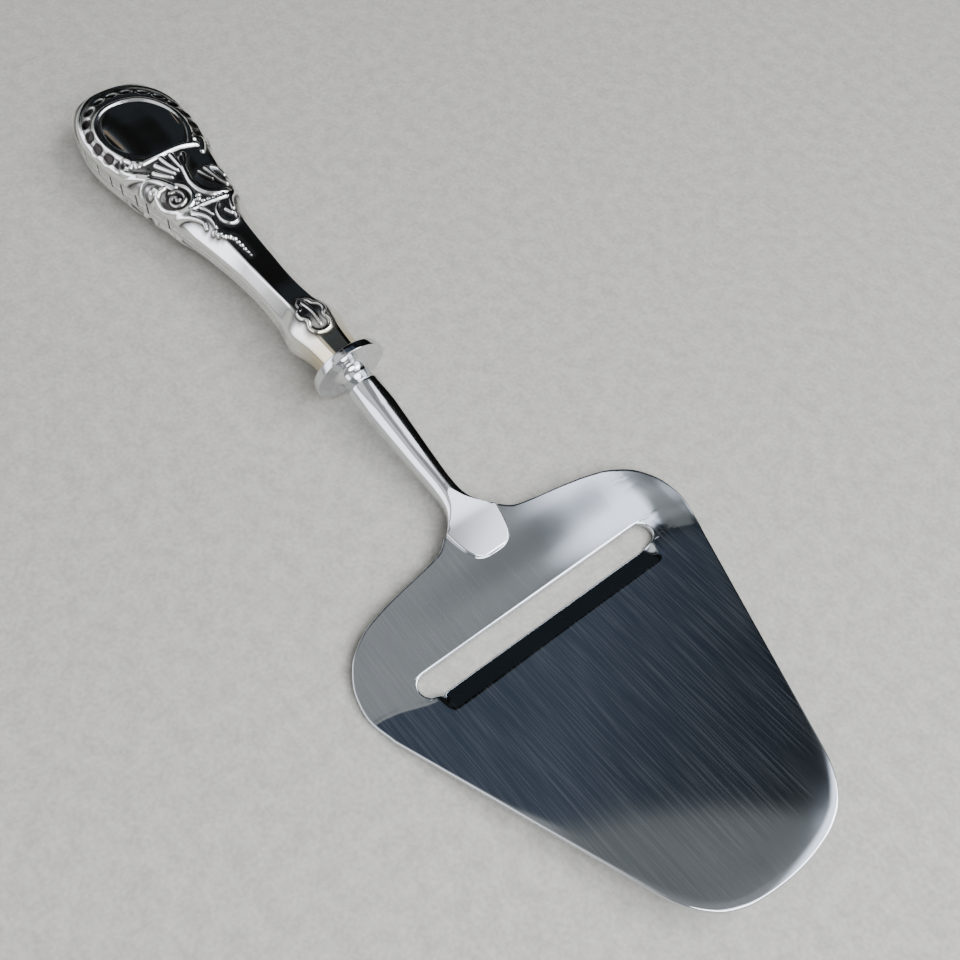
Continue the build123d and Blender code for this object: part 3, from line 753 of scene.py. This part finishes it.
def over(under, mask, colour):
    """The room so far, with a further colour painted over it where the mask is."""
    return blended(tree, mask, under, colour)


# Slanting measures of the room: one rises from the window's corner, one crosses it, one follows the dark side.
rising = worked("MULTIPLY_ADD", worked("SUBTRACT", height_above, 60.0), 1.2, azimuth)
crossing = worked("SUBTRACT", height_above, worked("MULTIPLY", worked("SUBTRACT", azimuth, 109.0), 0.83))
tilted = worked("SUBTRACT", height_above, worked("MULTIPLY", worked("SUBTRACT", azimuth, 110.0), 0.16))
window = worked("MULTIPLY", ranged(tree, azimuth, 0, 1, 16.0, 32.0), ranged(tree, rising, 1, 0, 107.5, 113.0))
window = worked("MULTIPLY", window, ranged(tree, crossing, 0, 1, 59.0, 61.5))
light = over((0.43, 0.445, 0.45), window, (3.3, 3.5, 3.9))
# The pale wall behind the camera, its lit window and the dark bar across it.
for place, colour in (((-160, -76, 4, 76, 4), (1.15, 1.16, 1.18)),
                      ((-155, -76, 11, 33, 4), (4.0, 4.05, 4.5)),
                      ((-174, -76, 37, 40, 1.5), (0.28, 0.29, 0.33))):
    light = over(light, patch(*place), colour)
wall = worked("MULTIPLY", between(crossing, 42.0, 45.0, 63.0, 66.0), ranged(tree, rising, 0, 1, 109.0, 112.0))
wall = worked("MULTIPLY", wall, ranged(tree, tilted, 1, 0, 66.5, 70.0))
light = over(light, wall, (0.235, 0.25, 0.25))
dark = worked("MULTIPLY", between(azimuth, 105.0, 108.0, 176.0, 180.0), ranged(tree, tilted, 1, 0, 61.6, 62.5))
gloom = over((0.020, 0.027, 0.033), ranged(tree, azimuth, 0, 1, 111.0, 135.0), (0.080, 0.102, 0.138))
light = over(light, dark, gloom)
# The darkest corners of the dark side, and the faint light low in it that the pressed lip mirrors.
for place in ((91, 176, -8, 48, 4), (146, 176, -8, 54, 4), (-186, -168, 30, 58, 4)):
    light = over(light, patch(*place), (0.006, 0.007, 0.006))
light = over(light, patch(128, 172, 18, 38, 4), (0.020, 0.025, 0.031))
# Rough things are lit evenly; only mirrored rays see the room's parts.
mirrored = tree.nodes.new("ShaderNodeLightPath").outputs["Is Glossy Ray"]
tree.links.new(over((0.46, 0.46, 0.445), mirrored, light), sky.inputs["Color"])
sky.inputs["Strength"].default_value = 0.8

# Camera: looks down at 57 degrees across the slicer from beside its tip, as the photograph was taken. Its place
# and direction were solved from the blade's outline, the slot, the disc and the handle's middle line.
view = bpy.data.cameras.new("camera")
view.lens = 41.25
view.sensor_width = 36
view.clip_start = 0.01
camera = bpy.data.objects.new("camera", view)
bpy.context.collection.objects.link(camera)
camera.matrix_world = Matrix(((0.62673, -0.67982, 0.38085, 0.104629), (0.77479, 0.49153, -0.39761, -0.078525),
                              (0.08311, 0.54428, 0.83478, 0.183790), (0, 0, 0, 1)))
bpy.context.scene.camera = camera
